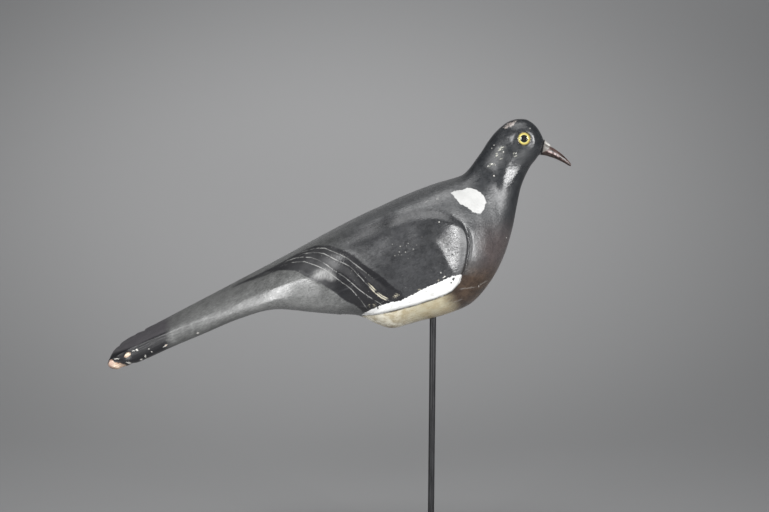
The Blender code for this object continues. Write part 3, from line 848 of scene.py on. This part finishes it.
def painted_wood():
    """Old oil paint on carved wood: grey back and wings, black feathers and tail, pale belly, white marks."""
    n = Nodes("painted_wood")

    def clouded(low, high, start=0.3, stop=0.7):
        """Two shades of one paint, in soft clouds."""
        return n.mix(n.span(cloudy, start, stop), low, high)

    along, height, near = n.attribute("along"), n.attribute("height"), n.attribute("near_side")
    body_run = n.place((14, 1, 1), -25)
    long_brush = n.noise(900, 3, 0.6, body_run)
    soft = n.noise(45, 4, 0.6)
    cloudy = n.noise(120, 5, 0.65)
    ragged = n.math("SUBTRACT", n.noise(380, 4, 0.62), 0.5)
    fine = n.noise(1500, 2, 0.5)
    wobble = n.times(ragged, 2.6)
    x, h = n.add(along, n.times(ragged, 6)), n.add(height, n.times(ragged, 6))
    frayed = n.shaken(n.together(along, height), n.noise(620, 3, 0.6, output="Color"), 2.4)

    wing_grey = n.mix(n.span(soft, 0.35, 0.65), WING_GREY_LOW, WING_GREY_HIGH)
    back_grey = clouded(BACK_GREY_LOW, BACK_GREY_HIGH)
    colour = n.mix(n.span(n.add(n.attribute("wing"), n.times(ragged, 5)), -2.5, 1.5), back_grey, wing_grey)

    rump_grey = clouded(RUMP_GREY_LOW, RUMP_GREY_HIGH)
    rump_grey = n.mix(n.times(n.span(h, 30, 4), n.span(x, -190, -150)), rump_grey,
                      clouded(FLANK_GREY_LOW, FLANK_GREY_HIGH))
    above = n.span(n.add(h, n.times(x, -0.45)), 80, 92)
    rump = n.span(n.add(x, n.times(above, 18)), -40, -110)
    colour = n.mix(n.times(rump, n.span(n.attribute("primaries"), 0.5, -1)), colour, rump_grey)

    # The shoulder facet is painted paler: worn paint that is also a painted highlight, stronger lower down,
    # with dark pits in it
    mottles = n.span(n.add(n.attribute("shoulder"), n.times(ragged, 8)), -0.5, 5)
    pits = n.times(n.span(n.noise(680, 3, 0.7), 0.42, 0.32), mottles)
    wear_and_highlight_grey = n.mix(n.span(n.noise(700, 3, 0.6), 0.35, 0.65), WEAR_AND_HIGHLIGHT_GREY_LOW, WEAR_AND_HIGHLIGHT_GREY_HIGH)
    share = n.times(n.span(cloudy, 0.35, 0.6, 0.25, 0.85), n.span(height, 82, 62, 0.5, 1))
    colour = n.mix(n.times(mottles, share), colour, wear_and_highlight_grey)
    colour = n.mix(n.times(pits, 0.45), colour, PRIMARY_BLACK)

    neck = n.times(n.span(x, 16, 36), n.span(height, 62, 92))
    colour = n.mix(neck, colour, clouded(NECK_GREY_LOW, NECK_GREY_HIGH, 0.35, 0.65))
    breast = n.times(n.span(x, 30, 52), n.span(h, 94, 62))
    colour = n.mix(breast, colour, clouded(BREAST_LOW, BREAST_HIGH))
    breast_foot = n.times(n.span(x, 22, 34), n.span(h, 56, 30))
    colour = n.mix(breast_foot, colour, clouded(BREAST_FOOT_LOW, BREAST_FOOT_HIGH))

    speckle = n.span(n.noise(1000, 2, 0.6, n.place((3, 1, 1), -25)), 0.25, 0.75, 0.72, 1.28)
    grey = n.new("CombineColor", Red=speckle, Green=speckle, Blue=speckle).outputs[0]
    colour = n.mix(1, colour, grey, "MULTIPLY")

    tail = n.span(n.add(along, n.times(ragged, 9)), -234, -243)
    ridge = n.span(n.add(n.attribute("tail_ridge"), n.times(ragged, 1.6)), -1.2, 1.2)
    tail_colour = n.mix(ridge, TAIL_SIDE, clouded(TAIL_TOP_LOW, TAIL_TOP_HIGH))
    colour = n.mix(tail, colour, tail_colour)

    primaries = n.span(n.add(n.attribute("primaries"), wobble), -0.9, 0.9)
    black = n.mix(n.span(n.noise(240, 4, 0.6, body_run), 0.55, 0.8), PRIMARY_BLACK, PRIMARY_GREY)
    second, third = n.attribute("feather_1"), n.attribute("feather_2")
    upper_vane = n.times(n.span(third, 1, 3.5), n.span(second, -1, -3), n.span(x, -100, -88),
                         n.span(x, -62, -72))
    lower_vane = n.times(n.span(second, 2, 4), n.span(n.attribute("primaries"), 4, 7),
                         n.span(x, -76, -66), n.span(h, 22, 28))
    vane = n.most(upper_vane, lower_vane)
    black = n.mix(n.times(vane, n.span(cloudy, 0.3, 0.6, 0.4, 0.85)), black, VANE_GREY)
    colour = n.mix(primaries, colour, black)
    back_line = n.span(n.add(n.attribute("back_line"), wobble), 1.7, 0.4)
    back_line = n.times(back_line, n.span(x, -190, -160), 0.7)
    colour = n.mix(back_line, colour, PRIMARY_BLACK)

    broken = n.span(n.noise(160, 4, 0.7), 0.36, 0.5)
    worn_line = n.span(n.noise(110, 3, 0.6), 0.38, 0.6, 0.3, 1)
    for number in range(len(FEATHER_LINES)):
        distance = n.attribute(f"feather_{number}")
        line = n.span(n.away(n.add(distance, n.times(ragged, 0.8))), 0.62, 0.15)
        colour = n.mix(n.times(line, broken, worn_line), colour, FEATHER_GREY)
        if number == 1:
            low_end = n.times(n.span(x, -59, -55), n.span(x, -39, -42))
            wide = n.span(n.away(n.away(distance, 0.4), 0.9), 0.75, 0.25)
            colour = n.mix(n.times(wide, low_end, broken), colour, SCUFF_CREAM)

    belly = n.span(n.add(n.attribute("belly"), n.times(wobble, 0.4)), -0.5, 0.5)
    cream = n.mix(n.span(x, -8, -44), BELLY_CREAM, BELLY_PALE)
    cream = clouded(cream, BELLY_STAINED, 0.35, 0.7)
    # Painted shade: brown darkening low on the belly and towards its bottom edge
    painted_shade_below = n.most(n.times(n.span(h, 0, -9), n.span(cloudy, 0.4, 0.6), 0.5),
                     n.times(n.span(n.attribute("belly"), 7, 16), n.span(x, -30, 0), 0.4))
    cream = n.mix(painted_shade_below, cream, BELLY_BROWN)
    brown_end = n.add(n.add(x, n.times(height, 0.8)), n.times(n.math("SUBTRACT", soft, 0.5), 16))
    cream = n.mix(n.span(brown_end, 17, 36), cream, clouded(BREAST_FOOT_LOW, BREAST_FOOT_HIGH, 0.4, 0.65))
    colour = n.mix(belly, colour, cream)

    patch = n.span(n.add(n.attribute("neck_patch"), wobble), -0.3, 0.3)
    stripe = n.span(n.add(n.attribute("wing_stripe"), n.times(wobble, 1.4)), -0.3, 0.3)
    white = n.mix(n.span(n.noise(500, 3, 0.6, body_run), 0.3, 0.7), WHITE_LOW, WHITE_HIGH)
    streaked = n.times(n.span(n.noise(520, 4, 0.65, n.place((3, 1, 1), -20)), 0.52, 0.72), 0.55)
    white = n.mix(streaked, white, STREAK_GREY)
    white = n.mix(patch, white, clouded(PATCH_WHITE, PATCH_PALE))
    gaps = n.span(n.spots(frayed, WHITE_GAPS), 1.1, 0.8)
    colour = n.mix(n.math("SUBTRACT", n.most(patch, stripe), gaps), colour, white)
    flat = n.together(along, height)
    strokes = n.noise(1300, 3, 0.7, n.place((6, 1, 1), 35))
    scuffed = n.span(n.add(strokes, n.span(n.spots(flat, CREAM_SCUFFS), 1.4, 0.2, -0.22, 0.04)), 0.52, 0.62)
    colour = n.mix(n.times(scuffed, n.span(cloudy, 0.35, 0.6, 0.3, 0.85)), colour, SCUFF_CREAM)
    # Painted highlight: pale strokes where the rump's shine crosses the black wing feathers
    glint = n.span(n.spots(flat, PAINTED_HIGHLIGHT_SPOTS), 1.2, 0.3)
    highlight_strokes = n.span(n.noise(900, 3, 0.6, n.place((1, 1, 5), 15)), 0.3, 0.65, 0.35, 1)
    colour = n.mix(n.times(highlight_strokes, glint, 0.9), colour, PAINTED_HIGHLIGHT_GREY)
    shade = n.span(n.away(n.add(n.attribute("belly"), ragged), 0.3), 1, 0.2)
    shade = n.times(shade, n.span(x, -64, -52), n.span(x, 30, 18),
                    n.span(n.noise(85, 3), 0.4, 0.55, 0.3, 0.8))
    colour = n.mix(shade, colour, SHADE_BROWN)

    broken_rim = n.times(n.math("SUBTRACT", n.noise(1100, 3, 0.7), 0.5), 1.6)
    chips = n.span(n.add(n.spots(frayed, WHITE_CHIPS), broken_rim), 1.15, 0.8)
    chips = n.times(chips, n.span(n.noise(800, 2), 0.35, 0.55, 0.45, 1))
    specked = n.span(n.spots(flat, WING_SPECKS), 1.3, 0.4)
    dust = n.times(n.span(n.add(n.cells(330), n.times(specked, -0.05)), 0.17, 0.08),
                   n.span(n.add(n.noise(70, 3), n.times(specked, 0.08)), 0.50, 0.60),
                   n.span(n.attribute("wing"), 2, 8), n.span(specked, 0, 1, 0.2, 0.45))
    colour = n.mix(n.times(n.most(n.times(chips, near), dust), 0.9), colour, CHIP_WHITE)
    colour = n.mix(n.times(n.span(n.spots(frayed, DARK_DOTS), 1.15, 0.85), near), colour, PRIMARY_BLACK)
    scratches = n.span(n.spots(frayed, FAINT_SCRATCHES), 1.3, 0.7)
    colour = n.mix(n.times(scratches, near, 0.16), colour, CHIP_WHITE)
    worn_place = n.span(n.spots(frayed, WORN_BROWN), 1.5, 0.1, -0.25, 0.14)
    worn = n.span(n.add(n.noise(500, 4, 0.7), worn_place), 0.47, 0.56)
    colour = n.mix(worn, colour, clouded(CROWN_BROWN, CROWN_PALE, 0.4, 0.6))
    hatch = n.noise(1100, 3, 0.7, n.place((3.5, 1, 1), -20))
    nape = n.span(n.add(hatch, n.span(n.spots(flat, NAPE_SCUFFS), 1.5, 0.2, -0.26, 0.03)), 0.52, 0.60)
    paler_mark = n.span(n.add(hatch, n.span(n.spots(flat, THROAT_RUB), 1.3, 0.3, -0.2, 0)), 0.46, 0.6)
    colour = n.mix(n.times(paler_mark, near, 0.6), colour, RUBBED_GREY)
    colour = n.mix(n.times(nape, near), colour, SCUFF_OLIVE)

    grain = n.noise(700, 3, 0.6, n.place((18, 1, 1), -25))
    raw = n.mix(n.span(grain, 0.35, 0.65), RAW_WOOD_DARK, RAW_WOOD)
    bare_spots = n.add(n.spots(frayed, RAW_SPOTS), n.times(broken_rim, 0.35))
    bare = n.span(bare_spots, 1.12, 0.88)
    raw = n.mix(n.times(n.span(bare_spots, 0.55, 0.95), n.span(cloudy, 0.35, 0.6)), raw, RAW_RIM)
    raw = n.mix(n.times(n.span(x, -285.5, -289.5), 0.5), raw, RAW_PINK)
    colour = n.mix(bare, colour, raw)
    n.set(Base_Color=colour)

    rough = n.span(n.noise(200, 4, 0.6), 0.3, 0.7, GLOSS_ROUGH - 0.05, GLOSS_ROUGH + 0.07)
    shoulder_side = n.times(n.span(n.attribute("wing"), 0.3, 2), n.span(along, 20.5, 25.5))
    off_wing = n.span(n.attribute("wing"), -0.5, -2.5)
    throat = n.times(n.span(h, 132, 104), n.span(h, 72, 90), n.span(x, 6, 22), off_wing)
    dull = n.most(n.times(tail, n.span(ridge, 0, 1, 0.05, 0.6)), n.times(n.most(patch, stripe), 0.6),
                  n.times(shoulder_side, 0.4), n.times(n.span(x, -140, -185), 0.5), n.times(throat, 0.32),
                  n.times(n.span(n.spots(flat, SATIN_PAINT), 1.3, 0.5), 0.45),
                  n.times(primaries, n.span(x, -78, -96), n.span(h, 40, 47, 0.35, 0.75)),
                  n.times(off_wing, n.span(x, 27, 31), n.span(x, 50, 42), n.span(h, 92, 82),
                          n.span(h, 36, 48), 0.25))
    neck_shine = n.span(n.spots(flat, [NECK_FACET]), 1.9, 0.6)
    rough = n.mix(neck_shine, rough, NECK_ROUGH)
    rough = n.mix(n.times(tail, n.span(ridge, 1, 0)), rough, TAIL_ROUGH)
    rough = n.mix(n.times(mottles, 0.6), rough, SHOULDER_ROUGH)
    rough = n.mix(n.times(primaries, n.span(x, -100, -88)), rough, NECK_ROUGH)
    rough = n.mix(n.most(bare, dull), rough, DULL_ROUGH)
    n.set(Roughness=rough, Specular_IOR_Level=GLOSS_LEVEL)
    scrape = n.noise(420, 3, 0.6, n.place((9, 1, 1), -25))
    rump_shine = n.times(n.span(x, -165, -150), n.span(x, -92, -98), n.span(h, 4, 12), 0.75)
    calm = n.span(n.most(primaries, rump_shine), 0, 1, 1, 0.25)
    normal = n.bump(n.times(n.add(long_brush, -0.5), calm), 0.00022, 0.9)
    normal = n.bump(n.times(n.add(scrape, -0.5), calm), 0.00017, 0.9, normal)
    stipple = n.noise(1900, 2, 0.5, n.place((1, 1, 3), 15))
    normal = n.bump(n.times(n.add(stipple, -0.5), rump_shine), 0.00008, 0.8, normal)
    normal = n.bump(fine, 0.00006, 0.6, normal)
    normal = n.bump(pits, -0.00012, 0.9, normal)
    normal = n.bump(n.most(patch, stripe), 0.00018, 0.7, normal)
    normal = n.bump(bare, -0.0003, 0.7, normal)
    n.set(Normal=normal)
    return n.material


def bill_paint():
    """Dark brown horn with a white painted skin over the base and a dark line along the mouth."""
    n = Nodes("bill_paint")
    along = n.attribute("along")
    cloudy = n.noise(260, 4, 0.6)
    ragged = n.math("SUBTRACT", n.noise(700, 3, 0.6), 0.5)
    horn = n.mix(n.span(cloudy, 0.35, 0.65), HORN_DARK, HORN_BROWN)
    mouth = n.attribute("mouth")
    # Painted shade: below the mouth line, on the bill's underside, the horn is painted dark
    horn = n.mix(n.span(n.add(mouth, n.times(ragged, 0.6)), -0.3, -1.2), horn, HORN_DARK)
    horn = n.mix(n.span(n.away(mouth), 0.5, 0.15), horn, MOUTH_BLACK)
    # Painted highlight: a pink band along the side of the bill just above the mouth line
    paler_mark = n.times(n.span(n.away(mouth, 1.9), 1.1, 0.3), n.span(along, 101, 104),
                     n.span(along, 117, 110), n.span(cloudy, 0.35, 0.5))
    horn = n.mix(n.times(paler_mark, 0.75), horn, HORN_PINK)
    # Painted shade: the side of the skin over the bill's base is painted darker grey than its white top
    side = n.span(n.add(n.attribute("cere_side"), n.times(ragged, 0.9)), -0.2, 0.3)
    horn = n.mix(n.times(side, n.span(cloudy, 0.3, 0.6, 0.6, 0.95)), horn, CERE_DARK)
    skin = n.span(n.add(n.attribute("cere"), n.times(ragged, 0.9)), -0.15, 0.15)
    white = n.mix(n.span(cloudy, 0.4, 0.6), CERE_WHITE, CERE_GREY)
    colour = n.mix(skin, horn, white)
    colour = n.mix(n.span(n.attribute("seam"), 1.1, 0.5), colour, SEAM_BLACK)
    n.set(Base_Color=colour, Roughness=n.span(cloudy, 0.3, 0.7, 0.24, 0.4),
          Normal=n.bump(n.noise(1400, 3, 0.6), 0.00006, 0.6))
    return n.material


def eye_glass():
    n = Nodes("eye_glass")
    n.set(Base_Color=(1, 1, 1), Roughness=0.015, IOR=1.38, Transmission_Weight=1)
    return n.material


def iris_paint():
    """Yellow iris with an amber rim and a black pupil, in rings."""
    n = Nodes("iris_paint")
    middle = n.add(n.attribute("from_middle"), n.times(n.math("SUBTRACT", n.noise(900, 2), 0.5), 0.25))
    yellow = n.mix(n.span(middle, PUPIL_RADIUS, IRIS_RADIUS), IRIS_PALE, IRIS_YELLOW)
    rim = n.mix(n.span(middle, IRIS_RADIUS + 0.2, EYE_RADIUS - 0.4), IRIS_RIM, IRIS_EDGE)
    colour = n.mix(n.span(middle, IRIS_RADIUS - 0.30, IRIS_RADIUS + 0.35), yellow, rim)
    colour = n.mix(n.span(middle, PUPIL_RADIUS + 0.08, PUPIL_RADIUS - 0.12), colour, PUPIL_BLACK)
    n.set(Base_Color=colour, Roughness=0.35)
    return n.material


def stand_paint(name, roughness):
    """Satin black paint on steel, with faint streaks."""
    n = Nodes(name)
    streaks = n.noise(500, 4, 0.6, n.place((1, 1, 12)))
    n.set(Base_Color=n.mix(n.span(streaks, 0.3, 0.7), STAND_BLACK, STAND_GREY),
          Roughness=n.span(streaks, 0.3, 0.7, roughness - 0.05, roughness + 0.08),
          Normal=n.bump(n.noise(1800, 2, 0.5), 0.00003, 0.6))
    return n.material


def area_light(name, azimuth, elevation, distance, size, power, spread, aim=VIEW_TARGET):
    """A softbox at a direction from the bird: azimuth from the camera's side, turning to the bird's front."""
    azimuth, elevation = math.radians(azimuth), math.radians(elevation)
    direction = Vector((math.sin(azimuth) * math.cos(elevation), -math.cos(azimuth) * math.cos(elevation),
                        math.sin(elevation)))
    light = bpy.data.lights.new(name, "AREA")
    light.shape = "RECTANGLE"
    light.size, light.size_y = size
    light.energy = power
    light.spread = math.radians(spread)
    lamp = bpy.data.objects.new(name, light)
    bpy.context.scene.collection.objects.link(lamp)
    lamp.location = aim + direction * distance
    lamp.rotation_euler = direction.to_track_quat("Z", "Y").to_euler()
    return lamp


def make_stage():
    """A pale floor that sweeps up into a backdrop, with a pool of light painted into its colour."""
    deselect_all()
    bpy.ops.mesh.primitive_grid_add(x_subdivisions=2, y_subdivisions=90, size=1)
    sweep = bpy.context.object
    sweep.name = sweep.data.name = "studio_sweep"
    points = get_points(sweep)
    run = (points[:, 1] + 0.5) * 10.0
    flat, bend = 3.3, 1.7
    quarter = bend * math.pi / 2
    angle = np.clip((run - flat) / bend, 0, math.pi / 2)
    y = np.minimum(run, flat) + bend * np.sin(angle) - 2.9
    z = bend * (1 - np.cos(angle)) + np.maximum(0, run - flat - quarter)
    set_points(sweep, np.stack([points[:, 0] * 12, y, z], axis=1))
    for polygon in sweep.data.polygons:
        polygon.use_smooth = True
    n = Nodes("pale_backdrop")
    # Painted light: brightest round one place on the backdrop and dimmer away from it
    painted_light_pool = n.span(n.oval(n.place(), (-0.18, 1.5, 0.22), (1.16, 4, 0.51)), 0.15, 0.91)
    n.set(Base_Color=n.mix(painted_light_pool, BACKDROP_BRIGHT, BACKDROP_DIM), Roughness=0.9, Specular_IOR_Level=0.1)
    sweep.data.materials.append(n.material)


def make_camera():
    camera = bpy.data.objects.new("camera", bpy.data.cameras.new("camera"))
    bpy.context.scene.collection.objects.link(camera)
    direction = Vector((0, -math.cos(VIEW_ELEVATION), math.sin(VIEW_ELEVATION)))
    camera.location = VIEW_TARGET + direction * VIEW_DISTANCE
    turn = direction.to_track_quat("Z", "Y").to_matrix() @ Matrix.Rotation(VIEW_ROLL, 3, "Z")
    camera.rotation_euler = turn.to_euler()
    camera.data.lens = LENS
    camera.data.sensor_width = SENSOR
    bpy.context.scene.camera = camera


def make_lights():
    area_light("left_softbox", -36, 9, 1.6, (0.7, 0.8), 8.6, 110)
    area_light("right_softbox", 42, 9, 1.6, (0.65, 0.65), 8.6, 110)
    area_light("top_softbox", 0, 84, 1.7, (1.6, 1), 6, 120)
    area_light("backdrop_light", 0, 52, 1.6, (0.9, 0.5), 7, 120, Vector((-0.05, 1.9, 0.85)))
    world = bpy.data.worlds.new("studio")
    bpy.context.scene.world = world
    world.use_nodes = True
    world.node_tree.nodes["Background"].inputs["Color"].default_value = (0.93, 0.96, 1, 1)
    world.node_tree.nodes["Background"].inputs["Strength"].default_value = 0.08
    bpy.context.scene.view_settings.view_transform = "Standard"


def finish_piece(piece, material):
    piece.data.materials.clear()
    piece.data.materials.append(material)
    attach(piece, "root")


def main():
    make_camera()
    make_lights()
    make_stage()

    body = make_body()
    cut_sockets(body)
    mark_paint(body)
    smooth_shading(body, 50)
    finish_piece(body, painted_wood())
    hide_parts("carved_body")

    bill = make_bill()
    finish_piece(bill, bill_paint())
    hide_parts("bill")

    glass_material, iris_material = eye_glass(), iris_paint()
    for name, side in (("right_eye", -1), ("left_eye", 1)):
        glass, iris = make_eye(name, side)
        finish_piece(glass, glass_material)
        finish_piece(iris, iris_material)
        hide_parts(name)

    rod, foot = make_rod(), make_foot()
    finish_piece(rod, stand_paint("rod_steel", 0.3))
    finish_piece(foot, stand_paint("foot_steel", 0.38))
    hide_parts("rod")
    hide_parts("foot")


main()
